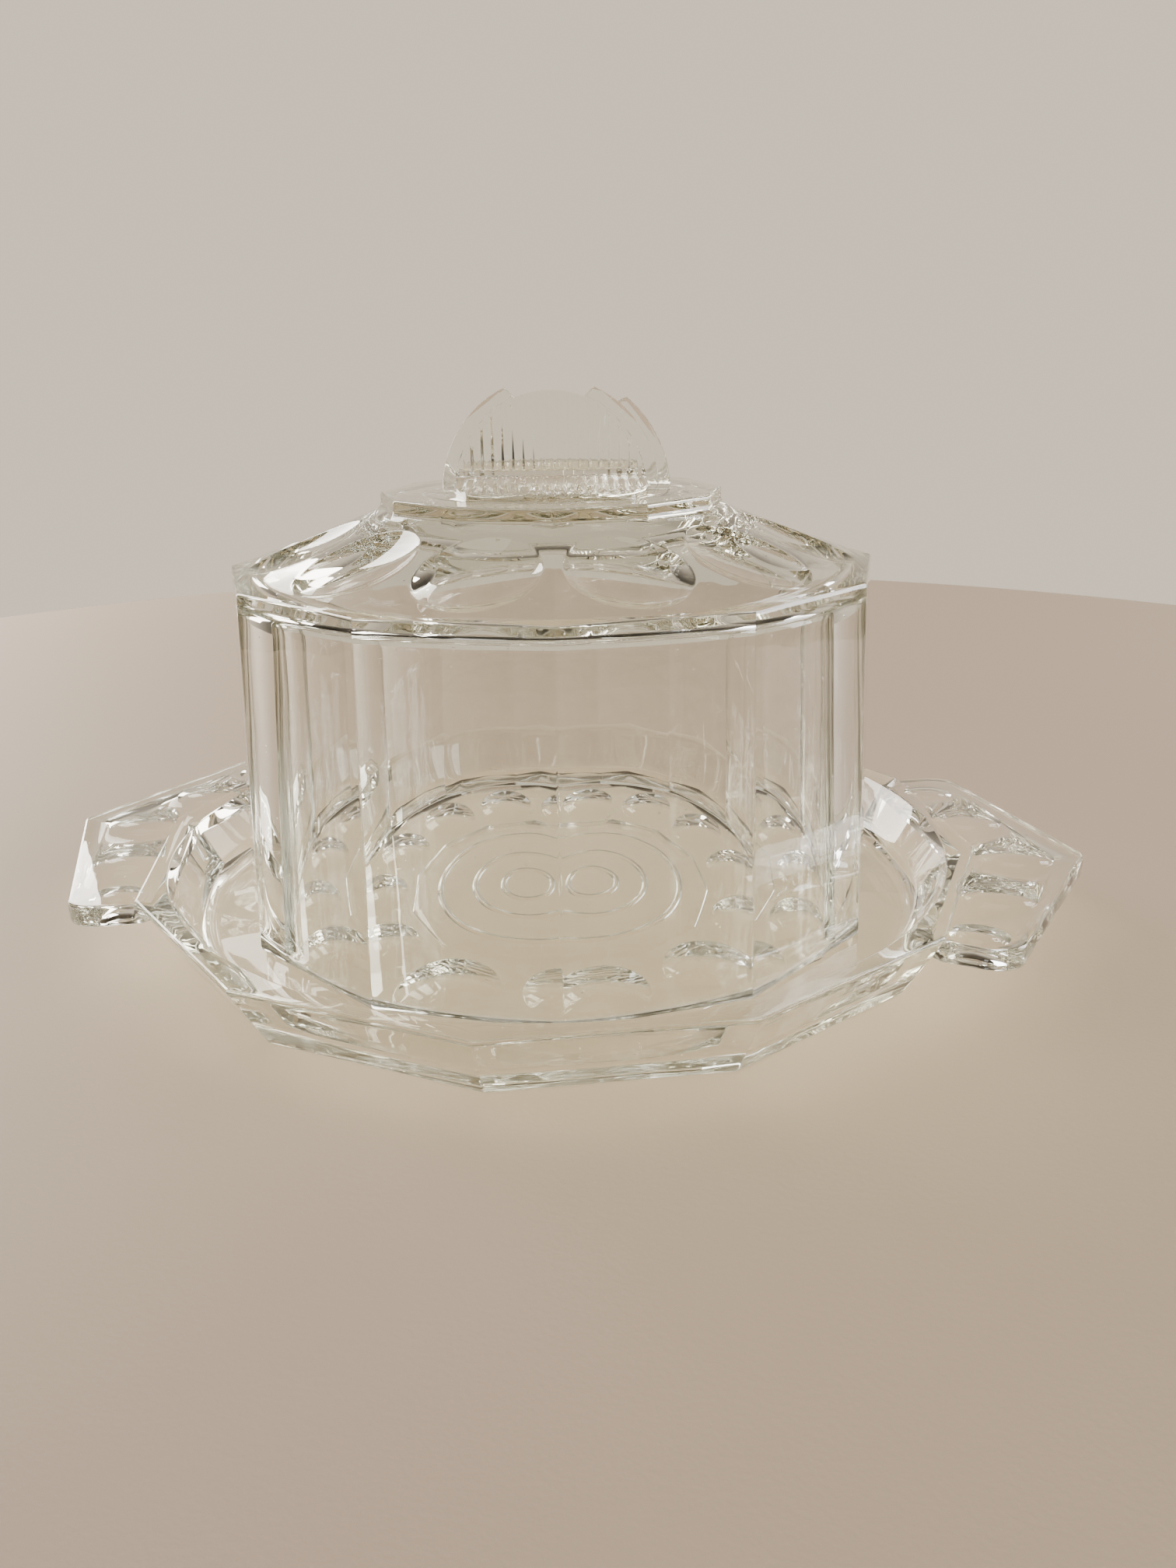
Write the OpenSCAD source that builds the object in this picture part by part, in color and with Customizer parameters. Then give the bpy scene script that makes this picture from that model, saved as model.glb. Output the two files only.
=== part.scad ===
// Pressed glass butter dish: a twelve-sided tray with two handles, and a twelve-sided lid with a fan knob.
// The origin is the middle of the tray's foot, on the table. +Z is up, and the handles lie along X.

/* [Tray] */
// Corner radius of the twelve-sided rim
rim_r = 98.2; // [95:0.1:102]
// Corner radius of the twelve-sided foot
foot_r = 89.4; // [86:0.1:94]
// Height of the rim above the table
rim_h = 15.4; // [14:0.1:20]
// Height of the serving floor above the table
floor_h = 4.1; // [3.8:0.1:6]
// Radius of the round well at the floor
well_r = 84; // [80:0.5:85]
// Radius of the round well at the rim
well_rim_r = 90.6; // [87:0.1:91]
// Radius of the soft corner between floor and well wall
well_corner = 5; // [2:0.5:8]

/* [Handles] */
// Distance from the middle to a handle's tip
handle_tip = 122.2; // [118:0.1:130]
// Distance from the middle to a handle's outer corners
handle_corner_x = 99.4; // [98:0.1:104]
// Half the width of a handle at its outer corners
handle_half_w = 50.4; // [48:0.1:52]
// Height of a handle's top above the table
handle_top = 14.6; // [13:0.1:15]
// Thickness of a handle
handle_t = 5; // [4:0.1:6]
// Radius of the corners of a handle's outline
handle_round = 2; // [1:0.5:4]
// Depth of the oval thumbprints under a handle
oval_depth = 1.9; // [1:0.1:2.5]

/* [Underside] */
// Corner radius of the twelve-sided recess inside the foot
recess_r = 71; // [69:0.5:74]
// Corner radius of the twelve-sided panel in the middle
panel_r = 42.5; // [38:0.5:44]
// Depth of each of the two steps
step_depth = 0.5; // [0.3:0.1:0.7]
// Distance from the middle to each round thumbprint
print_at = 56; // [55:0.5:57]
// Radius of each round thumbprint
print_r = 12.2; // [8:0.1:12.4]
// Depth of each round thumbprint
print_depth = 1.6; // [0.8:0.1:2]
// Radii of the three round grooves
groove_at = [8.7, 19, 31.5];
// Half the width of a groove
groove_r = 1; // [0.6:0.1:1.3]

/* [Lid walls] */
// Corner radius of the lid at its mouth
mouth_r = 74.8; // [72:0.1:76]
// Corner radius of the lid at its top edge
shoulder_r = 72; // [70:0.1:74]
// Height of the top edge above the table
shoulder_h = 81.2; // [70:0.1:90]
// Radius of the round cavity at the mouth
cavity_mouth_r = 68.6; // [66:0.1:69]
// Radius of the round cavity under the shoulder
cavity_top_r = 64.4; // [62:0.1:65]
// Thickness of the roof
roof_t = 5.6; // [5:0.1:7]
// How far the lid is turned on the tray
lid_turn = 9.3; // [0:0.1:30]

/* [Lid shoulder] */
// Radius of the top of the shoulder, under the collar
shoulder_top_r = 38.4; // [38:0.1:40]
// Height of the top of the shoulder
shoulder_top_h = 93; // [86:0.1:96]
// Distance from the middle to each shoulder scoop
scoop_at = 54; // [53:0.1:55]
// Half the length of a scoop, up the slope
scoop_a = 13.4; // [12:0.1:14]
// Half the width of a scoop
scoop_b = 12.2; // [11:0.1:12.6]
// Depth of a scoop
scoop_depth = 2.7; // [1.5:0.1:3]

/* [Knob] */
// Corner radius of the twelve-sided collar
collar_r = 37.7; // [36:0.1:38]
// Height of the collar's top above the table
collar_h = 96.7; // [95:0.1:99]
// Radius of the fan's fluted middle
fan_r = 20.8; // [18:0.1:22]
// Radius of the fan's inner step
fan_mid_r = 23.5; // [22.5:0.1:24]
// Radius of the fan's outer step
fan_outer_r = 26.2; // [25:0.1:28]
// How far the outer step's middle lies below the collar's top
fan_outer_drop = 1; // [0:0.1:2]
// Angle above the collar at which the inner step ends
fan_mid_a = 63; // [58:1:68]
// Angle above the collar at which the outer step ends
fan_outer_a = 48; // [40:1:52]
// Thickness of the fan at its top
fan_t = 8.6; // [7:0.1:11]
// Thickness of the fan at its foot
fan_foot_t = 11; // [9:0.1:14]
// How much thinner each outer step is, on each side
fan_step_in = 1.2; // [0.8:0.1:1.4]
// Distance between flutes
flute_pitch = 2.2; // [1.8:0.1:3]
// How far the fan's flared foot reaches to the front and the back
flare_reach = 25; // [18:0.5:28]
// Height of the flare above the collar
flare_h = 3.6; // [2.5:0.1:6]
// The flare's outline is a rectangle with slanted corners, which start this far to the side
flare_corner_x = 16.8; // [12:0.1:20]
// How far to the front and the back the slanted corners end
flare_corner_y = 14; // [8:0.5:20]
// Height of the upright lip around the flare
flare_lip = 1.7; // [1:0.1:3]

/* [Hidden] */
sides = 12;
turn = 360 / sides;
cut = 1; // how far a cutting shape runs past a face
$fn = 96;

slope = atan((shoulder_top_h - shoulder_h) / (shoulder_r * cos(turn / 2) - shoulder_top_r));
scoop_z = shoulder_top_h - (scoop_at - shoulder_top_r) * tan(slope);
roof_drop = roof_t / cos(slope);
cavity_top_h = shoulder_h + (shoulder_r * cos(turn / 2) - cavity_top_r) * tan(slope) - roof_drop;
fan_lean = atan((fan_foot_t - fan_t) / 2 / fan_r);
flute_count = floor(fan_r / flute_pitch);

// Ovals under each handle: [distance from the middle, angle from the handle's axis, half length, half width]
oval_rows = [[106.6, 0, 8.8, 6.9], [101.8, 12.8, 8.3, 7], [101.4, 24.4, 5.9, 5.2]];

// Points of a quarter arc of radius r around [x, y], from angle a0 to a1
function arc(x, y, r, a0, a1, steps) =
    [for (i = [0 : steps]) let (a = a0 + (a1 - a0) * i / steps) [x + r * cos(a), y + r * sin(a)]];

// An ellipsoid that leaves an a by b oval of the given depth in a face at z = 0, from above
module oval_cutter(a, b, depth) {
    translate([0, 0, depth]) scale([a / cos(30), b / cos(30), 2 * depth]) sphere(r = 1);
}

// A ball that leaves a round print of radius r and the given depth in a face at z = 0, from above
module print_cutter(r, depth) {
    ball_r = (r * r + depth * depth) / (2 * depth);
    translate([0, 0, ball_r - depth]) sphere(r = ball_r);
}

// The round well, turned about Z
module tray_well() {
    lean = atan((well_rim_r - well_r) / (rim_h - floor_h));
    corner_x = well_r - well_corner * (1 - sin(lean)) / cos(lean);
    arc_pts = arc(corner_x, floor_h + well_corner, well_corner, -90, -lean, 6);
    rotate_extrude()
        polygon(concat([[0, floor_h]], arc_pts,
            [[well_rim_r, rim_h], [well_rim_r, rim_h + cut], [0, rim_h + cut]]));
}

// One handle, on the +X side
module handle_plate() {
    root_a = turn;
    translate([0, 0, handle_top - handle_t])
        linear_extrude(height = handle_t)
            offset(r = handle_round) offset(delta = -handle_round)
                polygon([
                    [rim_r * cos(root_a) - 8, 44], [rim_r * cos(root_a) - 8, rim_r * sin(root_a) - 2],
                    [rim_r * cos(root_a), rim_r * sin(root_a)],
                    [handle_corner_x - 5, handle_half_w + 1.6], [handle_corner_x, handle_half_w],
                    [handle_tip, 0],
                    [handle_corner_x, -handle_half_w], [handle_corner_x - 5, -handle_half_w - 1.6],
                    [rim_r * cos(root_a), -rim_r * sin(root_a)],
                    [rim_r * cos(root_a) - 8, 2 - rim_r * sin(root_a)], [rim_r * cos(root_a) - 8, -44]
                ]);
}

// The five ovals pressed into a handle from below
module handle_ovals() {
    for (row = oval_rows, side = [-1, 1])
        if (row[1] > 0 || side > 0)
            translate([row[0] * cos(row[1]), side * row[0] * sin(row[1]), handle_top - handle_t])
                mirror([0, 0, 1]) oval_cutter(row[2], row[3], oval_depth);
}

// The stepped pattern under the tray
module underside_pattern() {
    translate([0, 0, -cut]) cylinder(r = recess_r, h = cut + step_depth, $fn = sides);
    translate([0, 0, -cut]) cylinder(r = panel_r, h = cut + 2 * step_depth, $fn = sides);
    for (k = [0 : sides - 1])
        rotate([0, 0, (k + 0.5) * turn])
            translate([print_at, 0, step_depth]) mirror([0, 0, 1]) print_cutter(print_r, print_depth);
    for (r = groove_at)
        translate([0, 0, 2 * step_depth]) rotate_extrude() translate([r, 0]) circle(r = groove_r, $fn = 24);
}

module tray() {
    color([0.86, 0.89, 0.84, 0.5])
        difference() {
            union() {
                cylinder(r1 = foot_r, r2 = rim_r, h = rim_h, $fn = sides);
                for (a = [0, 180]) rotate([0, 0, a]) handle_plate();
            }
            tray_well();
            underside_pattern();
            for (a = [0, 180]) rotate([0, 0, a]) handle_ovals();
        }
}

// The hollow under the lid, open at the mouth
module lid_cavity() {
    rotate_extrude()
        polygon([
            [0, floor_h - cut],
            [cavity_mouth_r, floor_h - cut], [cavity_mouth_r, floor_h],
            [cavity_top_r, cavity_top_h],
            [shoulder_top_r, shoulder_top_h - roof_drop],
            [0, shoulder_top_h - roof_drop]
        ]);
}

// A half disc standing on the collar, cut to the fan's wedge, and cut off above max_a on both sides
module fan_disc(r, drop, thin, max_a) {
    foot_half = fan_foot_t / 2 - thin;
    top_half = fan_t / 2 - thin;
    intersection() {
        translate([0, 0, -drop]) rotate([90, 0, 0]) cylinder(r = r, h = 2 * foot_half, center = true);
        rotate([90, 0, 90])
            linear_extrude(height = 2 * r, center = true)
                polygon([
                    [-foot_half, -cut], [foot_half, -cut], [foot_half, 0],
                    [top_half, fan_r], [top_half, r + cut], [-top_half, r + cut],
                    [-top_half, fan_r], [-foot_half, 0]
                ]);
        if (max_a < 90)
            rotate([90, 0, 0])
                linear_extrude(height = 2 * foot_half, center = true)
                    polygon([
                        [-2 * r, -cut], [2 * r, -cut], [2 * r, 2 * r * tan(max_a)],
                        [0, 0], [-2 * r, 2 * r * tan(max_a)]
                    ]);
    }
}

// The flare at the fan's foot: an upright lip on an eight-sided footprint, with a hollow sweep up to the fan
module fan_flare() {
    sweep = flare_reach - fan_t / 2;
    side = [for (a = [0 : 10 : 90])
        [flare_reach - sweep * sin(a), flare_lip + (flare_h - flare_lip) * (1 - cos(a))]];
    intersection() {
        translate([0, 0, -cut]) linear_extrude(height = flare_h + cut) polygon([
            [flare_corner_x, -flare_reach], [fan_r, -flare_corner_y], [fan_r, flare_corner_y],
            [flare_corner_x, flare_reach], [-flare_corner_x, flare_reach], [-fan_r, flare_corner_y],
            [-fan_r, -flare_corner_y], [-flare_corner_x, -flare_reach]
        ]);
        rotate([90, 0, 90])
            linear_extrude(height = 2 * fan_r, center = true)
                polygon(concat(
                    [[0, -cut], [flare_reach, -cut]], side,
                    [for (i = [len(side) - 1 : -1 : 0]) [-side[i][0], side[i][1]]], [[-flare_reach, -cut]]
                ));
    }
}

// Rounded ribs up both faces of the fan's middle
module fan_flutes() {
    intersection() {
        rotate([90, 0, 0]) cylinder(r = fan_r - 0.6, h = 2 * fan_foot_t, center = true);
        for (side = [0, 180], i = [-flute_count : flute_count])
            rotate([0, 0, side])
                translate([i * flute_pitch, -fan_foot_t / 2, 0])
                    rotate([-fan_lean, 0, 0]) cylinder(r = flute_pitch / 2, h = 1.2 * fan_r, $fn = 16);
    }
}

module knob() {
    translate([0, 0, collar_h]) {
        fan_disc(fan_r, 0, 0, 90);
        fan_disc(fan_mid_r, 0, fan_step_in, fan_mid_a);
        fan_disc(fan_outer_r, fan_outer_drop, 2 * fan_step_in, fan_outer_a);
        fan_flare();
        fan_flutes();
    }
}

module lid() {
    color([0.88, 0.91, 0.87, 0.4])
        rotate([0, 0, lid_turn])
            difference() {
                union() {
                    translate([0, 0, floor_h])
                        cylinder(r1 = mouth_r, r2 = shoulder_r, h = shoulder_h - floor_h, $fn = sides);
                    translate([0, 0, shoulder_h])
                        cylinder(r1 = shoulder_r * cos(turn / 2), r2 = shoulder_top_r,
                            h = shoulder_top_h - shoulder_h);
                    translate([0, 0, shoulder_top_h - cut])
                        cylinder(r = collar_r, h = collar_h - shoulder_top_h + cut, $fn = sides);
                    knob();
                }
                lid_cavity();
                for (k = [0 : sides - 1])
                    rotate([0, 0, (k + 0.5) * turn])
                        translate([scoop_at, 0, scoop_z])
                            rotate([0, slope, 0]) oval_cutter(scoop_a, scoop_b, scoop_depth);
            }
}

tray();
lid();
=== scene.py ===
# Pressed glass butter dish: a twelve-sided tray with two handles, and a lid with a fan-shaped knob.
# The pieces are shaped in millimetres and brought to metres when they are finished.
import math

import bmesh
import bpy
from mathutils import Matrix, Vector


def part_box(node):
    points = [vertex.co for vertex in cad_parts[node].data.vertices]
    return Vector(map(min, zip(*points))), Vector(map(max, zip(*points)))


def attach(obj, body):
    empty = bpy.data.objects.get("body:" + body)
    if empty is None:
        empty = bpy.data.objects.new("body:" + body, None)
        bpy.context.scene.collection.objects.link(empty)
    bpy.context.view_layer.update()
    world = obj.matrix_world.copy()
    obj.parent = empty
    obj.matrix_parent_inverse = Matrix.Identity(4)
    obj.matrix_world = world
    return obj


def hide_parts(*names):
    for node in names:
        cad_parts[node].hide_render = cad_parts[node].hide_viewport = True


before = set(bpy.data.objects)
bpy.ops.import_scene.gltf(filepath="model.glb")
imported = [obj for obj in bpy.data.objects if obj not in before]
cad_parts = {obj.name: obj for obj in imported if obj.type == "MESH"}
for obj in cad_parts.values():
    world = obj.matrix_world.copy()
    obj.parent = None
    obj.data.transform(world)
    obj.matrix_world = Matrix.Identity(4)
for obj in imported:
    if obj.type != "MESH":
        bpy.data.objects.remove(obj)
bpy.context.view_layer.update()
bpy.ops.object.select_all(action="DESELECT")

sides = 12
halfTurn = math.pi / sides  # from the middle of a flat to its corner
flatShare = math.cos(halfTurn)  # a flat's distance over its corner's distance
trayLow, trayHigh = [corner * 1000 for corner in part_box("tray")]
lidLow, lidHigh = [corner * 1000 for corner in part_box("lid")]


# sRGB hex to the linear values that shaders and lights take
def linearColour(code):
    shares = [int(code[i:i + 2], 16) / 255 for i in (1, 3, 5)]
    return [s / 12.92 if s <= 0.04045 else ((s + 0.055) / 1.055) ** 2.4 for s in shares] + [1]


# Adds one node with its settings and its incoming links
def addNode(tree, kind, settings=None, links=None):
    node = tree.nodes.new("ShaderNode" + kind)
    for name, value in (settings or {}).items():
        if name in node.inputs:
            node.inputs[name].default_value = value
        else:
            setattr(node, name, value)
    for name, source in (links or {}).items():
        tree.links.new(source, node.inputs[name])
    return node


def selectOnly(piece):
    bpy.ops.object.select_all(action="DESELECT")
    piece.select_set(True)
    bpy.context.view_layer.objects.active = piece


def applyModifier(piece, kind, **settings):
    selectOnly(piece)
    modifier = piece.modifiers.new(kind.title(), kind)
    for name, value in settings.items():
        setattr(modifier, name, value)
    bpy.ops.object.modifier_apply(modifier=modifier.name)


# Joins or cuts with another solid, which is used up
def carve(piece, tool, operation):
    applyModifier(piece, "BOOLEAN", object=tool, operation=operation, solver="EXACT")
    bpy.data.objects.remove(tool, do_unlink=True)


# A loop's distance from the middle at any angle, on a twelve-sided outline with softened corners
def facetReach(flat, softness=0.7):
    core = (flat - softness) / flatShare

    def reach(angle):
        off = abs((angle + halfTurn) % (2 * halfTurn) - halfTurn)
        under = softness ** 2 - (core * math.sin(off)) ** 2
        if under > 0:
            far = core * math.cos(off) + math.sqrt(under)
            if math.atan2(far * math.sin(off), far * math.cos(off) - core) < halfTurn:
                return far
        return flat / math.cos(halfTurn - off)

    return reach


# Rows of an arc in a section, round (r, z) from one angle to another
def arcRows(kind, r, z, radius, start, end, steps):
    rows = []
    for i in range(steps + 1):
        turn = math.radians(start + (end - start) * i / steps)
        rows.append((kind, r + radius * math.cos(turn), z + radius * math.sin(turn)))
    return rows


# Extrudes the selected loop row by row: a row is facet or round, its distance from the middle, its height
def growRows(piece, rows):
    for kind, distance, height in rows:
        bpy.ops.mesh.extrude_region_move()
        mesh = bmesh.from_edit_mesh(piece.data)
        reach = facetReach(distance) if kind == "facet" else (lambda angle: distance)
        for v in mesh.verts:
            if v.select:
                angle = math.atan2(v.co.y, v.co.x)
                v.co = (reach(angle) * math.cos(angle), reach(angle) * math.sin(angle), height)
        bmesh.update_edit_mesh(piece.data)


# Selects the open loop beyond the dividing distance, or the one within it
def selectOpenLoop(piece, outer, divide):
    bpy.ops.mesh.select_mode(type="EDGE")
    bpy.ops.mesh.select_all(action="DESELECT")
    mesh = bmesh.from_edit_mesh(piece.data)
    for e in mesh.edges:
        if e.is_boundary and (e.verts[0].co.xy.length > divide) == outer:
            e.select_set(True)
    bmesh.update_edit_mesh(piece.data)


# Turns the faces of the solid in edit mode outwards, and leaves edit mode
def faceOutwards():
    bpy.ops.mesh.select_all(action="SELECT")
    bpy.ops.mesh.normals_make_consistent(inside=False)
    bpy.ops.object.mode_set(mode="OBJECT")


# Brings a finished solid to metres, faces outwards, smooth but for its hard edges
def finishSolid(piece, turn=0.0, hardAngle=38):
    selectOnly(piece)
    bpy.ops.object.mode_set(mode="EDIT")
    bpy.ops.mesh.select_all(action="SELECT")
    bpy.ops.mesh.remove_doubles(threshold=0.001)
    bpy.ops.mesh.dissolve_degenerate(threshold=0.002)
    faceOutwards()
    piece.data.transform(Matrix.Diagonal((0.001, 0.001, 0.001, 1)) @ Matrix.Rotation(turn, 4, "Z"))
    bpy.ops.object.shade_smooth_by_angle(angle=math.radians(hardAngle))


# How a thumbprint's rings lie: shares of its radius, then steps from its edge to the facet's edge
printRings = [0.12, 0.25, 0.38, 0.5, 0.61, 0.71, 0.8, 0.87, 0.92, 0.955, 0.98, 1.0]
scoopSurround = [1.02, 1.045, 1.08]
printSurround = [1.006, 1.014, 1.026]
edgeSteps = [0.2, 0.42, 0.65, 0.84, 0.95, 1.0]
outerPoints, sidePoints, innerPoints = 14, 24, 20  # along half the outer side, a side, and the inner side
ringPoints = 2 * outerPoints + 2 * sidePoints + innerPoints
beyond = 9.0  # a share of the radius that lies outside every thumbprint


# Even steps from one value to another, without the last
def between(start, end, count):
    return [start + (end - start) * i / count for i in range(count)]


# Where each point of a ring goes on the facet's edge, and at which angle it leaves the thumbprint
def facetEdge(outerSide, innerSide, centre, reachU, reachV):
    outerU, outerV = outerSide(1)
    innerU, innerV = innerSide(1)
    edge = [outerSide(s) for s in between(0, 1, outerPoints)]
    edge += zip(between(outerU, innerU, sidePoints), between(outerV, innerV, sidePoints))
    edge += [innerSide(s) for s in between(1, -1, innerPoints)]
    edge += zip(between(innerU, outerU, sidePoints), between(-innerV, -outerV, sidePoints))
    edge += [outerSide(s) for s in between(-1, 0, outerPoints)]
    outerTurn = math.atan2(outerV / reachV, (outerU - centre) / reachU)
    innerTurn = math.atan2(innerV / reachV, (innerU - centre) / reachU)
    fullTurn = 2 * math.pi
    turns = between(0, outerTurn, outerPoints)
    turns += between(outerTurn, innerTurn, sidePoints)
    turns += between(innerTurn, fullTurn - innerTurn, innerPoints)
    turns += between(fullTurn - innerTurn, fullTurn - outerTurn, sidePoints)
    turns += between(fullTurn - outerTurn, fullTurn, outerPoints)
    return edge, turns


# One facet with its thumbprint, then twelve of them round the middle, left in edit mode as one ring
def facetRing(name, centre, reachU, reachV, surround, outerSide, innerSide, settle):
    inside = printRings + surround
    rings = [1 + step for step in reversed(edgeSteps)] + list(reversed(inside))
    bpy.ops.object.select_all(action="DESELECT")
    bpy.ops.mesh.primitive_circle_add(vertices=ringPoints, radius=rings[0] + 1, fill_type="NOTHING")
    piece = bpy.context.object
    piece.name = piece.data.name = name
    bpy.ops.object.mode_set(mode="EDIT")
    bpy.ops.mesh.select_all(action="SELECT")
    radii = [1 + ring for ring in rings]  # each ring is found again by its radius
    for wide, narrow in zip(radii, radii[1:] + [0.5]):
        bpy.ops.mesh.extrude_region_move()
        bpy.ops.transform.resize(value=(narrow / wide, narrow / wide, 1), center_override=(0, 0, 0))
    bpy.ops.mesh.merge(type="CENTER")
    bpy.ops.object.mode_set(mode="OBJECT")
    edge, turns = facetEdge(outerSide, innerSide, centre, reachU, reachV)
    for v in piece.data.vertices:
        ring = v.co.length - 1
        i = round(math.atan2(v.co.y, v.co.x) / (2 * math.pi) * ringPoints) % ringPoints
        share = 0.0 if v.co.length < 0.01 else min(ring, inside[-1])
        u = centre + reachU * share * math.cos(turns[i])
        w = reachV * share * math.sin(turns[i])
        if ring > 1 + edgeSteps[0] - 0.01:
            u += (edge[i][0] - u) * (ring - 1)
            w += (edge[i][1] - w) * (ring - 1)
            share = beyond
        v.co = settle(u, w, share)
    piece.data.transform(Matrix.Rotation(halfTurn, 4, "Z"))
    bpy.ops.object.mode_set(mode="EDIT")
    bpy.ops.mesh.select_all(action="SELECT")
    bpy.ops.mesh.spin(steps=sides - 1, dupli=True, angle=2 * math.pi * (sides - 1) / sides,
                      center=(0, 0, 0), axis=(0, 0, 1))
    bpy.ops.mesh.select_all(action="SELECT")
    bpy.ops.mesh.remove_doubles(threshold=0.01)
    return piece


# Points bunch towards a facet's corners, so that the softened corners keep their shape
def bunched(s):
    return math.copysign(1 - (1 - abs(s)) ** 2, s)


def arcSide(radius):
    return lambda s: (radius * math.cos(halfTurn * bunched(s)), radius * math.sin(halfTurn * bunched(s)))


def straightSide(flat):
    return lambda s: (flat, flat * math.tan(halfTurn) * bunched(s))


# A hollow's depth share at a share of its radius: 1 in the middle, and 0 outside its slightly soft edge
def hollowShare(share, steep, edgeSoftness=0.05):
    if share == beyond:
        fall = -1
    elif steep:
        fall = 2 * math.sqrt(1 - 0.75 * share ** 2) - 1
    else:
        fall = 1 - share ** 2
    return (fall + math.sqrt(fall ** 2 + edgeSoftness ** 2)) / 2


lidTurn = math.radians(9.3)  # how the lid sits turned on the tray

lid = {
    "mouthCorner": lidHigh.x / math.cos(lidTurn),  # corner distance at the mouth
    "shoulderCorner": 72.0,  # corner distance at the top edge
    "shoulderHeight": 81.2,
    "wallSoftness": 0.7,  # rounding of the mouth's and the shoulder's edges
    "cavityMouth": 68.6,  # the round cavity's radius at the mouth, and at its top
    "cavityTop": 64.4,
    "cavityHeight": 77.0,
    "roof": 5.6,  # the shoulder's glass, square to its slope
    "ceilingSoftness": 3.0,
    "ceilingRings": (57, 50, 43),  # between the cavity's wall and the collar
    "shoulderTop": 38.4,  # where the shoulder meets the collar
    "shoulderTopHeight": 93.0,
    "scoopAt": 54.0,  # how far out the scoops' middles lie
    "scoopLength": 13.4,  # half, up the slope
    "scoopWidth": 12.2,  # half
    "scoopDepth": 2.7,
    "coneEdge": 68.9,  # the round shoulder ends here, and the corners beyond it are small ledges
    "collarCorner": 37.7,
    "collarHeight": 96.7,
    "collarFillet": ((0.3, 0.6), (0.05, 1.1), (0.0, 1.7)),  # out from its flats, and up from the shoulder
    "collarSoftness": 0.5,
}
shoulderRun = lid["shoulderCorner"] * flatShare - lid["shoulderTop"]
shoulderSlope = (lid["shoulderTopHeight"] - lid["shoulderHeight"]) / shoulderRun
slopeAngle = math.atan(shoulderSlope)


def shoulderHeightAt(r):
    return lid["shoulderTopHeight"] - (r - lid["shoulderTop"]) * shoulderSlope


# A point of the shoulder, sunk square to the slope where a scoop is
def settleShoulder(u, w, share):
    r = math.hypot(u, w)
    depth = lid["scoopDepth"] * hollowShare(share, True)
    lean = depth * math.sin(slopeAngle) / r
    return (u - u * lean, w - w * lean, shoulderHeightAt(r) - depth * math.cos(slopeAngle))


def makeLidShell():
    scoopReach = lid["scoopLength"] * math.cos(slopeAngle)
    piece = facetRing("lidGlass", lid["scoopAt"], scoopReach, lid["scoopWidth"], scoopSurround,
                      arcSide(lid["coneEdge"]), arcSide(lid["shoulderTop"] + 0.5), settleShoulder)
    soft = lid["wallSoftness"]
    base = lidLow.z + 0.03  # a hair above the tray's floor
    top = lid["shoulderHeight"]
    flatTop = lid["shoulderCorner"] * flatShare
    flatMouth = lid["mouthCorner"] * flatShare
    straightFrom, straightTo = base + 2.5, top - 2  # the walls run straight between these heights

    def wallAt(z):
        return flatMouth + (flatTop - flatMouth) * (z - base) / (top - base)

    def cavityAt(z):
        climb = (z - base) / (lid["cavityHeight"] - base)
        return lid["cavityMouth"] + (lid["cavityTop"] - lid["cavityMouth"]) * climb

    roofDrop = lid["roof"] / math.cos(slopeAngle)
    ceilingSoft = lid["ceilingSoftness"]
    filletR = cavityAt(lid["cavityHeight"] - ceilingSoft) - ceilingSoft
    filletZ = shoulderHeightAt(filletR) - roofDrop - ceilingSoft / math.cos(slopeAngle)
    ceilingEnd = 90 - math.degrees(slopeAngle)
    # From the shoulder's edge down the flats, round the mouth, up the cavity, and in under the roof
    rows = [("facet", flatTop - soft, top)]
    rows += arcRows("facet", flatTop - soft, top - soft, soft, 60, 0, 2)
    rows += [("facet", wallAt(z), z) for z in (straightTo, straightFrom)]
    rows += arcRows("facet", flatMouth - soft, base + soft, soft, 0, -90, 3)
    rows += arcRows("round", lid["cavityMouth"] + soft, base + soft, soft, -90, -180, 3)
    rows += [("round", cavityAt(z), z) for z in (straightFrom, filletZ - 1.5)]
    rows += arcRows("round", filletR, filletZ, ceilingSoft, 0, ceilingEnd, 5)
    rows += [("round", r, shoulderHeightAt(r) - roofDrop) for r in (*lid["ceilingRings"], lid["shoulderTop"])]
    rows += [("round", r, lid["shoulderTopHeight"] - roofDrop) for r in (36, 20, 1)]
    selectOpenLoop(piece, True, lid["scoopAt"])
    growRows(piece, rows)
    bpy.ops.mesh.merge(type="CENTER")

    # From the shoulder's inner edge up the collar's flats, and in over its top
    collarFlat = lid["collarCorner"] * flatShare
    collarTop = lid["collarHeight"]
    soft = lid["collarSoftness"]
    rows = [("round", lid["shoulderTop"] + 0.1, lid["shoulderTopHeight"])]
    rows += [("facet", collarFlat + out, lid["shoulderTopHeight"] + up) for out, up in lid["collarFillet"]]
    rows += [("facet", collarFlat, collarTop - soft - 0.4)]
    rows += arcRows("facet", collarFlat - soft, collarTop - soft, soft, 0, 90, 3)
    rows += [("facet", collarFlat - 1.4, collarTop), ("round", 30, collarTop), ("round", 1, collarTop)]
    selectOpenLoop(piece, False, lid["scoopAt"])
    growRows(piece, rows)
    bpy.ops.mesh.merge(type="CENTER")
    faceOutwards()
    return piece


# A plain block above the given height, wide enough to cut with
def addSlab(low, tall):
    bpy.ops.object.select_all(action="DESELECT")
    bpy.ops.mesh.primitive_cube_add(size=1, location=(0, 0, low + tall / 2), scale=(120, 120, tall))
    bpy.ops.object.transform_apply(location=True, rotation=True, scale=True)
    return bpy.context.object


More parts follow.
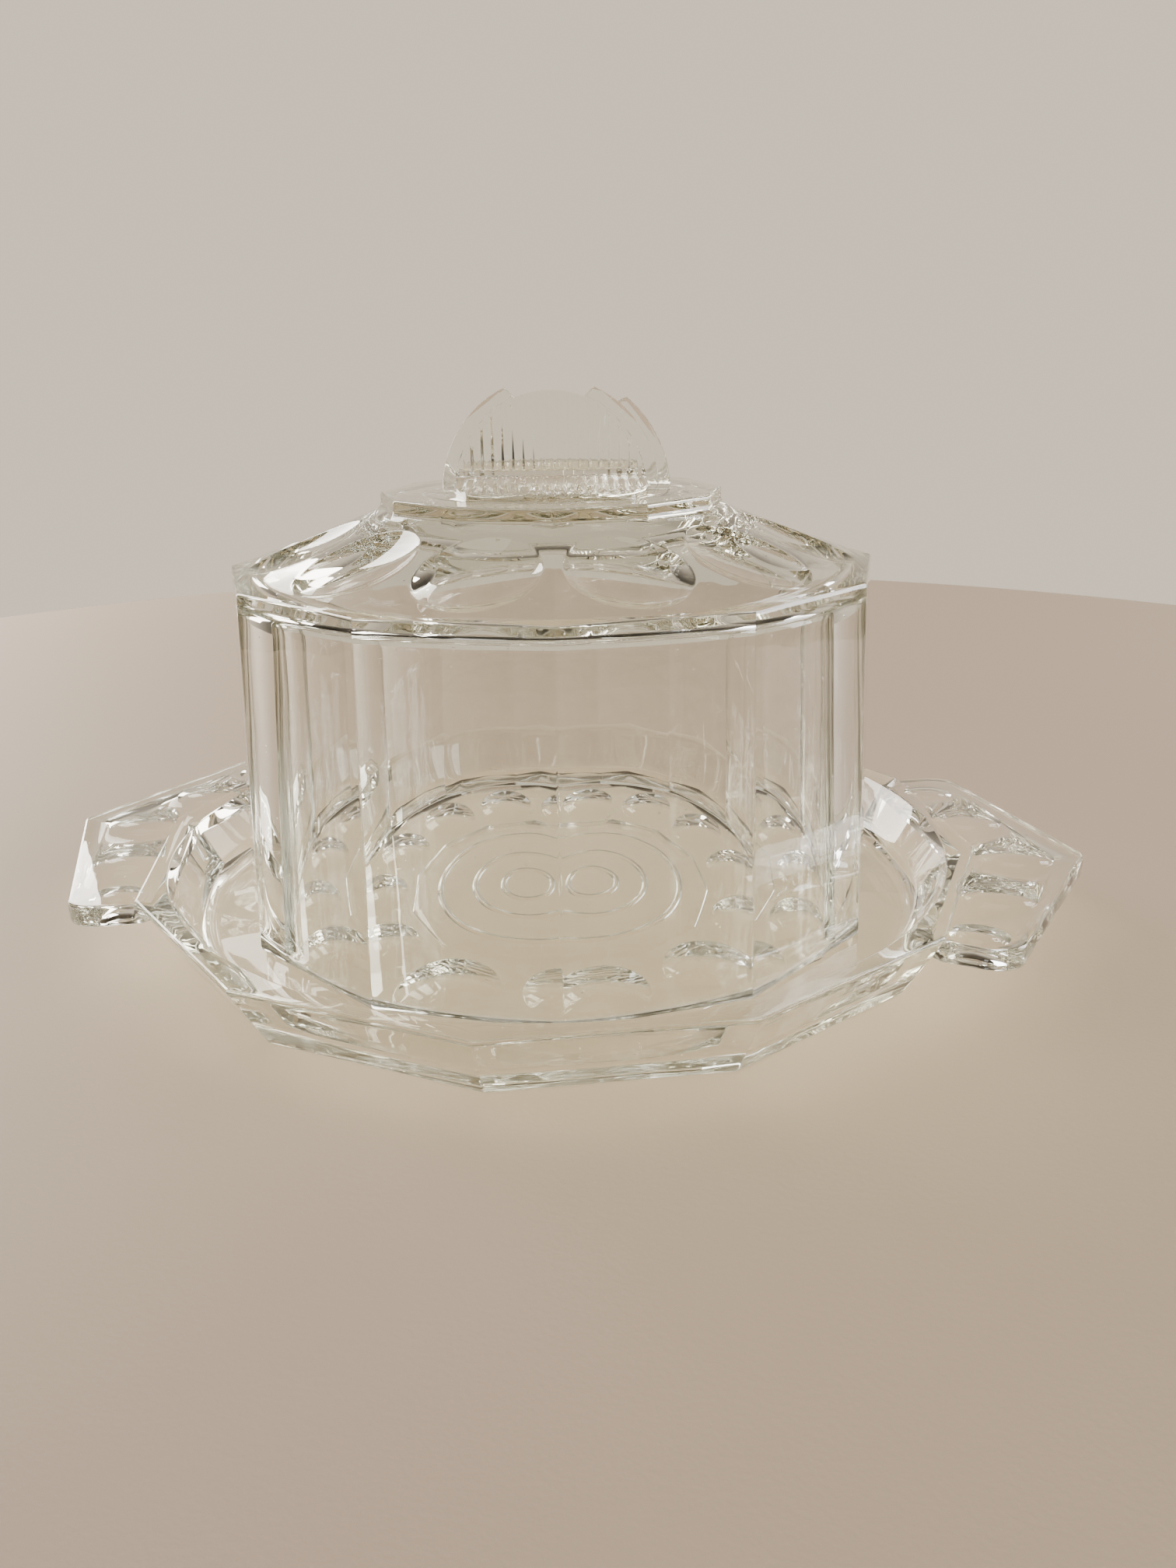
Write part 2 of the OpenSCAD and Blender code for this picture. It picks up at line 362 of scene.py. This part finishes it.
knob = {
    "discRadius": 20.8,
    "midRadius": 23.5,  # the side steps' own arcs
    "outerRadius": 26.2,
    "outerDrop": 1.0,  # the outer step's middle lies this far below the collar's top
    "midCut": ((7.4, 19.2), (10.2, 20.6)),  # the steps end along slanting lines through these two places
    "outerCut": ((14.6, 18.3), (16.6, 18.7)),
    "topHalf": 4.3,  # half the disc's thickness at its top, and at its foot
    "footHalf": 5.5,
    "stepIn": 1.2,  # each step is this much thinner on both faces
    "stepSoftness": 0.3,
    "footOutline": ((16.8, -23.9), (20.7, -14.0), (20.7, 14.0), (16.8, 23.9), (0.0, 25.0)),  # the right half
    "footCornerRounding": 2.6,
    "footDraft": 0.986,  # the foot's width at its top over its width at its base
    "flareReach": 25.0,  # the foot flares to here at the front and the back
    "flareHeight": 3.6,
    "flareLip": 1.7,  # height of its upright edge
    "reedPitch": 2.2,
    "reedDepth": 0.5,
    "reedSteps": 8,  # columns to each reed
    "sunk": 1.0,  # how far the knob goes into the collar before the two are joined
}


# The upper half of an upright disc, from just inside the collar, with half its thickness and how it thins
def addKnobDisc(name, radius, drop, half, taper):
    bpy.ops.object.select_all(action="DESELECT")
    middle = (0, 0, lid["collarHeight"] - drop)
    bpy.ops.mesh.primitive_cylinder_add(vertices=192, radius=radius, depth=2 * half, location=middle,
                                        rotation=(math.pi / 2, 0, 0))
    plate = bpy.context.object
    plate.name = plate.data.name = name
    bpy.ops.object.transform_apply(location=True, rotation=True, scale=True)
    for v in plate.data.vertices:
        rise = max(0.0, v.co.z - lid["collarHeight"]) / knob["discRadius"]
        v.co.y = math.copysign(half - taper * rise, v.co.y)
    bpy.ops.object.mode_set(mode="EDIT")
    bpy.ops.mesh.select_all(action="SELECT")
    bpy.ops.mesh.bisect(plane_co=(0, 0, lid["collarHeight"] - knob["sunk"]), plane_no=(0, 0, 1),
                        use_fill=True, clear_inner=True)
    bpy.ops.object.mode_set(mode="OBJECT")
    return plate


# One side step: what is left of a plate under its slanting cut
def addKnobStep(side, radius, drop, half, taper, cut):
    plate = addKnobDisc("knobStep", radius, drop, half, taper)
    (lowX, lowZ), (highX, highZ) = cut
    slices = [((side * lowX, 0, lid["collarHeight"] + lowZ), (side * (lowZ - highZ), 0, highX - lowX)),
              ((side * 3, 0, lid["collarHeight"]), (-side, 0, 0))]  # and the inner end, hidden in the disc
    bpy.ops.object.mode_set(mode="EDIT")
    for place, normal in slices:
        bpy.ops.mesh.select_all(action="SELECT")
        bpy.ops.mesh.bisect(plane_co=place, plane_no=normal, use_fill=True, clear_outer=True)
    bpy.ops.object.mode_set(mode="OBJECT")
    applyModifier(plate, "BEVEL", width=knob["stepSoftness"], segments=2, limit_method="ANGLE",
                  angle_limit=math.radians(50))
    return plate


# The disc's section from its lip up: depth, height, and which way its skin faces in degrees
def knobSection():
    reach, lip = knob["flareReach"], knob["flareLip"]
    sweep = reach - knob["footHalf"]
    rise = knob["flareHeight"] - lip
    points = [(reach, -knob["sunk"], 0), (reach, lip - 0.5, 0)]
    points += [(reach - 0.1, lip - 0.15, 30), (reach - 0.4, lip, 70)]
    for turn in range(6, 91, 7):
        along = math.radians(turn)
        points.append((reach - sweep * math.sin(along), lip + rise * (1 - math.cos(along)), 90 - turn))
    taper = (knob["footHalf"] - knob["topHalf"]) / knob["discRadius"]
    for height in (5.0, 9.0, 13.0, 17.0, knob["discRadius"] + 1):
        points.append((knob["footHalf"] - taper * height, height, 0))
    return points


# The outline that the reeded middle keeps: the disc above the foot, and the foot's own eight sides below
def makeKnobOutline():
    outline = addKnobDisc("knobOutline", knob["discRadius"], 0, 40, 0)
    right = list(knob["footOutline"])
    points = right + [(-x, -y) for x, y in right]
    bpy.ops.object.select_all(action="DESELECT")
    bpy.ops.mesh.primitive_circle_add(vertices=len(points), radius=1, fill_type="NGON")
    foot = bpy.context.object
    order = sorted(foot.data.vertices, key=lambda v: math.atan2(v.co.y, v.co.x))
    for v, (x, y) in zip(order, sorted(points, key=lambda p: math.atan2(p[1], p[0]))):
        v.co = (x, y, lid["collarHeight"] - 2 * knob["sunk"])
    bpy.ops.object.mode_set(mode="EDIT")
    bpy.ops.mesh.select_all(action="SELECT")
    bpy.ops.mesh.bevel(offset=knob["footCornerRounding"], segments=6, affect="VERTICES")
    bpy.ops.mesh.select_all(action="SELECT")
    tall = 2 * knob["sunk"] + knob["flareHeight"] + 0.2
    bpy.ops.mesh.extrude_region_move(TRANSFORM_OT_translate={"value": (0, 0, tall)})
    bpy.ops.transform.resize(value=(knob["footDraft"], 1, 1), center_override=(0, 0, lid["collarHeight"]))
    faceOutwards()
    selectOnly(outline)
    bpy.ops.object.mode_set(mode="EDIT")
    faceOutwards()
    carve(outline, addSlab(lid["collarHeight"] + knob["flareHeight"], 30), "INTERSECT")
    carve(outline, foot, "UNION")
    return outline


# The reeded middle: its section drawn along X column by column, then cut to its outline
def makeReededDisc():
    half = knobSection()
    count = 2 * len(half)
    columns = int(2 * (knob["discRadius"] + 1) / knob["reedPitch"] * knob["reedSteps"])
    bpy.ops.object.select_all(action="DESELECT")
    bpy.ops.mesh.primitive_circle_add(vertices=count, radius=1, fill_type="NGON")
    piece = bpy.context.object
    piece.name = piece.data.name = "knobGlass"
    bpy.ops.object.mode_set(mode="EDIT")
    bpy.ops.mesh.select_all(action="SELECT")
    mesh = bmesh.from_edit_mesh(piece.data)
    place = mesh.verts.layers.int.new("place")  # which point of the section a vertex is
    for i, v in enumerate(sorted(mesh.verts, key=lambda v: math.atan2(v.co.y, v.co.x))):
        v[place] = i
    bmesh.update_edit_mesh(piece.data)
    for column in range(columns + 1):
        x = -knob["discRadius"] - 1 + column * knob["reedPitch"] / knob["reedSteps"]
        hollow = knob["reedDepth"] * (abs(math.cos(math.pi * x / knob["reedPitch"])) - 1)
        if column:
            bpy.ops.mesh.extrude_region_move()
        mesh = bmesh.from_edit_mesh(piece.data)
        place = mesh.verts.layers.int["place"]
        for v in mesh.verts:
            if v.select:
                i = v[place]
                front = i < len(half)
                depth, height, facing = half[i] if front else half[count - 1 - i]
                depth += hollow * math.cos(math.radians(facing))
                height += hollow * math.sin(math.radians(facing))
                v.co = (x, -depth if front else depth, lid["collarHeight"] + height)
        bmesh.update_edit_mesh(piece.data)
    faceOutwards()
    carve(piece, makeKnobOutline(), "INTERSECT")
    piece.data.attributes.remove(piece.data.attributes["place"])
    return piece


def makeKnob():
    taper = knob["footHalf"] - knob["topHalf"]
    midHalf = knob["footHalf"] - knob["stepIn"]
    outerHalf = midHalf - knob["stepIn"]
    piece = makeReededDisc()
    for side in (-1, 1):
        carve(piece, addKnobStep(side, knob["midRadius"], 0, midHalf, taper, knob["midCut"]), "UNION")
        outer = addKnobStep(side, knob["outerRadius"], knob["outerDrop"], outerHalf, taper, knob["outerCut"])
        carve(piece, outer, "UNION")
    return piece


print("lid: shell")
lidGlass = makeLidShell()
print("lid: knob")
knobGlass = makeKnob()
carve(lidGlass, knobGlass, "UNION")
finishSolid(lidGlass, turn=lidTurn)
print("lid faces", len(lidGlass.data.polygons))

tray = {
    "rimCorner": trayHigh.y,  # corner distance at the rim
    "footCorner": 89.4,
    "rimHeight": trayHigh.z,
    "rimSoftness": 0.6,
    "footSoftness": 0.8,
    "floor": lidLow.z,
    "well": 84.0,  # round well at the floor, and at the rim
    "wellRim": 90.6,
    "wellCorner": 5.0,  # rounding where the well's wall meets its floor
    "recessCorner": 71.0,  # corner distance of the recess under the tray, and of the panel in its middle
    "panelCorner": 42.5,
    "step": 0.5,  # the recess is this deep, and the panel twice as deep
    "printAt": 56.0,
    "printRadius": 12.0,
    "printDepth": 1.6,
    "grooves": (31.5, 19.0, 8.7),  # the round grooves' radii
    "grooveHalf": 1.1,
    "grooveDepth": 0.95,
    "grooveSteps": (1.25, 1.0, 0.75, 0.4, 0.0, -0.4, -0.75, -1.0, -1.25),  # across a groove, in half widths
    "handleTip": trayHigh.x,
    "handleCorner": (99.4, 50.4),
    "handleCutBack": (5.0, 1.6),  # the short side from each corner back to the rim
    "handleRounding": 2.2,  # of the outline's corners, and of the edges that a hand meets
    "handleSoftness": 0.8,
    "handleTop": 14.6,
    "handleThickness": 5.0,
    "handleRoot": 91.0,  # the plate starts inside the rim's glass, on an arc of this radius
    "handleRootTurn": 28.2,  # that runs this many degrees to both sides
    "ovals": ((106.6, 0, 8.8, 6.9), (101.8, 12.8, 8.3, 7.0), (101.8, -12.8, 8.3, 7.0),
              (101.4, 24.4, 5.9, 5.2), (101.4, -24.4, 5.9, 5.2)),  # distance, angle, half length, half width
    "ovalDepth": 1.9,
}


# A point of the recess, raised into the glass where a thumbprint is
def settleUnderside(u, w, share):
    return (u, w, tray["step"] + tray["printDepth"] * hollowShare(share, False))


def makeTrayShell():
    recess = tray["recessCorner"] * flatShare
    panel = tray["panelCorner"] * flatShare
    piece = facetRing("trayGlass", tray["printAt"], tray["printRadius"], tray["printRadius"], printSurround,
                      straightSide(recess), straightSide(panel), settleUnderside)
    foot = tray["footCorner"] * flatShare
    rim = tray["rimCorner"] * flatShare
    top = tray["rimHeight"]
    floor = tray["floor"]
    lean = math.atan((rim - foot) / top)
    wellLean = math.atan((tray["wellRim"] - tray["well"]) / (top - floor))
    leanTurn, wellTurn = math.degrees(lean), math.degrees(wellLean)

    def wallAt(z):
        return foot + (rim - foot) * z / top

    # From the recess out over the foot, up the leaning wall, over the rim and down into the well
    footSoft, rimSoft, wellSoft = tray["footSoftness"], tray["rimSoftness"], tray["wellCorner"]
    rows = [("facet", recess + 0.15, 0.45), ("facet", recess + 0.35, 0.1)]
    rows += [("facet", recess + 0.7, 0), ("facet", foot - 3, 0)]
    footCentre = wallAt(footSoft) - footSoft / math.cos(lean)
    rows += arcRows("facet", footCentre, footSoft, footSoft, -90, -leanTurn, 4)
    rows += [("facet", wallAt(z), z) for z in (2.2, top - 2)]
    rimCentre = wallAt(top - rimSoft) - rimSoft / math.cos(lean)
    rows += arcRows("facet", rimCentre, top - rimSoft, rimSoft, -leanTurn, 90, 5)
    rows += [("facet", rim - 2.2, top)]
    wellTop = tray["wellRim"] + rimSoft / math.cos(wellLean) - rimSoft * math.tan(wellLean)
    rows += arcRows("round", wellTop, top - rimSoft, rimSoft, 90, 180 - wellTurn, 3)
    rows += [("round", tray["wellRim"] - 2 * math.tan(wellLean), top - 2)]
    wellCentre = tray["well"] - wellSoft * (1 - math.sin(wellLean)) / math.cos(wellLean)
    rows += arcRows("round", wellCentre, floor + wellSoft, wellSoft, -wellTurn, -90, 6)
    rows += [("round", r, floor) for r in (75, 50, 25, 1)]
    selectOpenLoop(piece, True, tray["printAt"])
    growRows(piece, rows)
    bpy.ops.mesh.merge(type="CENTER")

    # From the recess in over the panel's step and the three grooves
    deep = 2 * tray["step"]
    rows = [("facet", panel - 0.15, tray["step"] + 0.05), ("facet", panel - 0.45, deep - 0.05)]
    rows += [("facet", panel - 0.8, deep)]
    for groove in tray["grooves"]:
        for share in tray["grooveSteps"]:
            lift = math.sqrt(max(0.0, 1 - share ** 2))
            rows.append(("round", groove + share * tray["grooveHalf"], deep + lift * tray["grooveDepth"]))
    rows.append(("round", 1, deep))
    selectOpenLoop(piece, False, tray["printAt"])
    growRows(piece, rows)
    bpy.ops.mesh.merge(type="CENTER")
    faceOutwards()
    return piece


# Rounds the edges of the piece in edit mode that the test picks
def bevelEdges(piece, picks, offset, segments):
    bpy.ops.mesh.select_all(action="DESELECT")
    mesh = bmesh.from_edit_mesh(piece.data)
    for e in mesh.edges:
        if picks(e):
            e.select_set(True)
    bmesh.update_edit_mesh(piece.data)
    bpy.ops.mesh.bevel(offset=offset, segments=segments, affect="EDGES")


# One five-sided handle plate with its pressed ovals, on the right, or turned round to the left
def makeHandle(side):
    rootX = tray["rimCorner"] * math.cos(2 * halfTurn)
    rootY = tray["rimCorner"] * math.sin(2 * halfTurn)
    cornerX, cornerY = tray["handleCorner"]
    backX, backY = cornerX - tray["handleCutBack"][0], cornerY + tray["handleCutBack"][1]
    tipX = tray["handleTip"] + 0.6  # before its corner is rounded
    corners = [(backX, -backY), (cornerX, -cornerY), (tipX, 0), (cornerX, cornerY), (backX, backY)]
    outline = [(rootX, -rootY)] + corners + [(rootX, rootY)]
    rootTurn = math.radians(tray["handleRootTurn"])
    rootSteps = 12
    for i in range(rootSteps + 1):
        turn = rootTurn - 2 * rootTurn * i / rootSteps
        outline.append((tray["handleRoot"] * math.cos(turn), tray["handleRoot"] * math.sin(turn)))
    bpy.ops.object.select_all(action="DESELECT")
    bpy.ops.mesh.primitive_circle_add(vertices=len(outline), radius=1, fill_type="NGON")
    plate = bpy.context.object
    plate.name = plate.data.name = "handleGlass"
    low = tray["handleTop"] - tray["handleThickness"]
    order = sorted(plate.data.vertices, key=lambda v: math.atan2(v.co.y, v.co.x))
    for v, (x, y) in zip(order, outline):
        v.co = (x, y, low)
    bpy.ops.object.mode_set(mode="EDIT")
    bpy.ops.mesh.select_all(action="SELECT")
    bpy.ops.mesh.extrude_region_move(TRANSFORM_OT_translate={"value": (0, 0, tray["handleThickness"])})
    bpy.ops.mesh.select_all(action="SELECT")
    bpy.ops.mesh.normals_make_consistent(inside=False)

    def atCorner(edge):
        low, high = edge.verts
        upright = abs(low.co.z - high.co.z) > 1
        return upright and any((low.co.xy - Vector(corner)).length < 0.1 for corner in corners)

    def pastRim(edge):
        level = abs(edge.verts[0].co.z - edge.verts[1].co.z) < 0.1
        return level and all(v.co.xy.length > tray["rimCorner"] - 0.7 for v in edge.verts)

    bpy.ops.mesh.select_mode(type="EDGE")
    bevelEdges(plate, atCorner, tray["handleRounding"], 5)
    bevelEdges(plate, pastRim, tray["handleSoftness"], 3)
    bpy.ops.object.mode_set(mode="OBJECT")
    widen = 1 / math.cos(math.pi / 6)  # a flattened ball whose middle is its own depth below the plate
    for distance, angle, length, width in tray["ovals"]:
        turn = math.radians(angle)
        bpy.ops.object.select_all(action="DESELECT")
        bpy.ops.mesh.primitive_uv_sphere_add(
            segments=72, ring_count=48, radius=1,
            location=(distance * math.cos(turn), distance * math.sin(turn), low - tray["ovalDepth"]),
            scale=(length * widen, width * widen, 2 * tray["ovalDepth"]))
        ball = bpy.context.object
        bpy.ops.object.transform_apply(location=True, rotation=True, scale=True)
        carve(plate, ball, "DIFFERENCE")
    if side < 0:
        plate.data.transform(Matrix.Rotation(math.pi, 4, "Z"))
    return plate


print("tray: shell")
trayGlass = makeTrayShell()
print("tray: handles")
for side in (1, -1):
    carve(trayGlass, makeHandle(side), "UNION")
finishSolid(trayGlass)
print("tray faces", len(trayGlass.data.polygons))


# Soda-lime pressed glass, fire-polished: clear, faintly straw-green where it is thick, with slow ripples
# from the mould, a few seeds, and fine rubbing from use that dulls it in patches
glassFinish = {
    "tint": "#cdcfba",
    "tintDensity": 10.0,  # per metre
    "ripple": 0.013,  # metres from wave to wave
    "rubbed": 0.022,  # metres across a rubbed patch
    "seeds": 0.0045,  # metres from seed to seed
    "rippleHeight": 0.0003,
    "seedHeight": 0.0001,
    "rubbedRoughness": 0.035,
    "ior": 1.52,
}


def pressedGlass(name):
    material = bpy.data.materials.new(name)
    material.use_nodes = True
    tree = material.node_tree
    tree.nodes.clear()
    here = addNode(tree, "TexCoord").outputs["Object"]
    ripple = addNode(tree, "TexNoise", {"Scale": 1 / glassFinish["ripple"], "Detail": 1.0, "Roughness": 0.3},
                     {"Vector": here})
    waves = addNode(tree, "Bump", {"Strength": 0.3, "Distance": glassFinish["rippleHeight"]},
                    {"Height": ripple.outputs["Fac"]})
    seed = addNode(tree, "TexVoronoi", {"Scale": 1 / glassFinish["seeds"]}, {"Vector": here})
    spot = addNode(tree, "MapRange", {"From Min": 0.03, "From Max": 0.07, "To Min": 1.0, "To Max": 0.0},
                   {"Value": seed.outputs["Distance"]})
    skin = addNode(tree, "Bump", {"Strength": 0.35, "Distance": glassFinish["seedHeight"]},
                   {"Height": spot.outputs["Result"], "Normal": waves.outputs["Normal"]})
    rub = addNode(tree, "TexNoise", {"Scale": 1 / glassFinish["rubbed"], "Detail": 3.0}, {"Vector": here})
    dull = addNode(tree, "MapRange", {"From Min": 0.45, "From Max": 0.75, "To Min": 0.0,
                                      "To Max": glassFinish["rubbedRoughness"]}, {"Value": rub.outputs["Fac"]})
    glass = addNode(tree, "BsdfPrincipled", {"Base Color": linearColour("#fdfefb"), "IOR": glassFinish["ior"],
                                             "Transmission Weight": 1.0},
                    {"Normal": skin.outputs["Normal"], "Roughness": dull.outputs["Result"]})
    # Lets the lamps shine through, so that what stands under the glass isn't in its shadow
    path = addNode(tree, "LightPath")
    clear = addNode(tree, "BsdfTransparent", {"Color": linearColour("#f4f5f0")})
    blend = addNode(tree, "MixShader")
    tree.links.new(path.outputs["Is Shadow Ray"], blend.inputs[0])
    tree.links.new(glass.outputs[0], blend.inputs[1])
    tree.links.new(clear.outputs[0], blend.inputs[2])
    body = addNode(tree, "VolumeAbsorption", {"Color": linearColour(glassFinish["tint"]),
                                              "Density": glassFinish["tintDensity"]})
    addNode(tree, "OutputMaterial", {}, {"Surface": blend.outputs[0], "Volume": body.outputs[0]})
    return material


print("glass")
trayGlass.data.materials.clear()
trayGlass.data.materials.append(pressedGlass("pressedGlassTray"))
lidGlass.data.materials.clear()
lidGlass.data.materials.append(pressedGlass("pressedGlassLid"))
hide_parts("tray")
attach(trayGlass, "tray")
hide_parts("lid")
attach(lidGlass, "lid")

# Stage: a pale floor, a pale room that is darker overhead and behind the camera, and soft windows
stage = {
    "floorRadius": 0.46,
    "floorColour": "#ad9882",
    "roomColour": "#e4d5c0",
    "roomLevel": 1.25,
    "roofFrom": 0.22,  # the sine of the height where the room starts to darken, and where it is darkest
    "roofTo": 0.8,
    "roofLevel": 0.08,  # the share of light that is left there
    "backFrom": 0.82,  # the same from the wall behind the dish round to the sides and the back
    "backTo": 0.1,
    "backLevel": 0.1,
}
print("stage")
bpy.ops.object.select_all(action="DESELECT")
bpy.ops.mesh.primitive_circle_add(vertices=128, radius=stage["floorRadius"], fill_type="NGON",
                                  location=(0, 0, -0.0002))  # a hair under the foot
floor = bpy.context.object
floor.name = "floor"
floorMaterial = bpy.data.materials.new("paintedBoard")
floorMaterial.use_nodes = True
board = floorMaterial.node_tree
paint = board.nodes["Principled BSDF"]
paint.inputs["Base Color"].default_value = linearColour(stage["floorColour"])
paint.inputs["Roughness"].default_value = 0.7
grain = addNode(board, "TexNoise", {"Scale": 900.0, "Detail": 2.0},
                {"Vector": addNode(board, "TexCoord").outputs["Object"]})
tooth = addNode(board, "Bump", {"Strength": 0.15, "Distance": 0.0002}, {"Height": grain.outputs["Fac"]})
board.links.new(tooth.outputs["Normal"], paint.inputs["Normal"])
floor.data.materials.append(floorMaterial)

world = bpy.data.worlds.new("studio")
bpy.context.scene.world = world
world.use_nodes = True
room = world.node_tree
toward = addNode(room, "SeparateXYZ", {}, {"Vector": addNode(room, "TexCoord").outputs["Generated"]})
up = addNode(room, "MapRange", {"interpolation_type": "SMOOTHSTEP", "From Min": stage["roofFrom"],
                                "From Max": stage["roofTo"], "To Min": 1.0, "To Max": stage["roofLevel"]},
             {"Value": toward.outputs["Z"]})
back = addNode(room, "MapRange", {"interpolation_type": "SMOOTHSTEP", "From Min": stage["backFrom"],
                                  "From Max": stage["backTo"], "To Min": 1.0, "To Max": stage["backLevel"]},
               {"Value": toward.outputs["Y"]})
level = addNode(room, "Math", {"operation": "MULTIPLY"})
room.links.new(up.outputs["Result"], level.inputs[0])
room.links.new(back.outputs["Result"], level.inputs[1])
lit = addNode(room, "Math", {"operation": "MULTIPLY"})
room.links.new(level.outputs[0], lit.inputs[0])
lit.inputs[1].default_value = stage["roomLevel"]
sky = room.nodes["Background"]
sky.inputs["Color"].default_value = linearColour(stage["roomColour"])
room.links.new(lit.outputs[0], sky.inputs["Strength"])

lamps = [
    # name, place, width and height, power in watts, colour
    ("leftWindow", (-1.0, 0.72, 0.5), (0.6, 1.0), 36, "#fff8ee"),
    ("rightWindow", (1.12, 0.3, 0.45), (0.6, 0.9), 24, "#fbfbff"),
    ("topLight", (-0.2, -0.5, 1.4), (1.2, 1.2), 6, "#fffaf2"),
]
for name, place, (width, height), power, colour in lamps:
    bpy.ops.object.light_add(type="AREA", location=place)
    lamp = bpy.context.object
    lamp.name = name
    lamp.data.shape = "RECTANGLE"
    lamp.data.size = width
    lamp.data.size_y = height
    lamp.data.energy = power
    lamp.data.color = linearColour(colour)[:3]
    lamp.visible_camera = False
    lamp.rotation_euler = (Vector((0, 0, 0.05)) - Vector(place)).to_track_quat("-Z", "Y").to_euler()

view = {
    "place": (0.0072, -0.2789, 0.1249),  # before the turn round the dish
    "turn": math.radians(7.8),
    "down": math.radians(19.26),
    "roll": math.radians(0.81),
    "lens": 28.32,
}
bpy.ops.object.camera_add()
camera = bpy.context.object
camera.data.lens = view["lens"]
camera.data.sensor_width = 36
camera.data.clip_start = 0.01
stand = Matrix.Rotation(view["turn"], 4, "Z") @ Matrix.Translation(view["place"])
tilt = Matrix.Rotation(math.pi / 2 - view["down"], 4, "X") @ Matrix.Rotation(-view["roll"], 4, "Z")
camera.matrix_world = stand @ tilt
bpy.context.scene.camera = camera

# Light crosses many walls of glass on its way through the lid and the tray
bpy.context.scene.cycles.max_bounces = 40
bpy.context.scene.cycles.transmission_bounces = 40
bpy.context.scene.cycles.glossy_bounces = 20
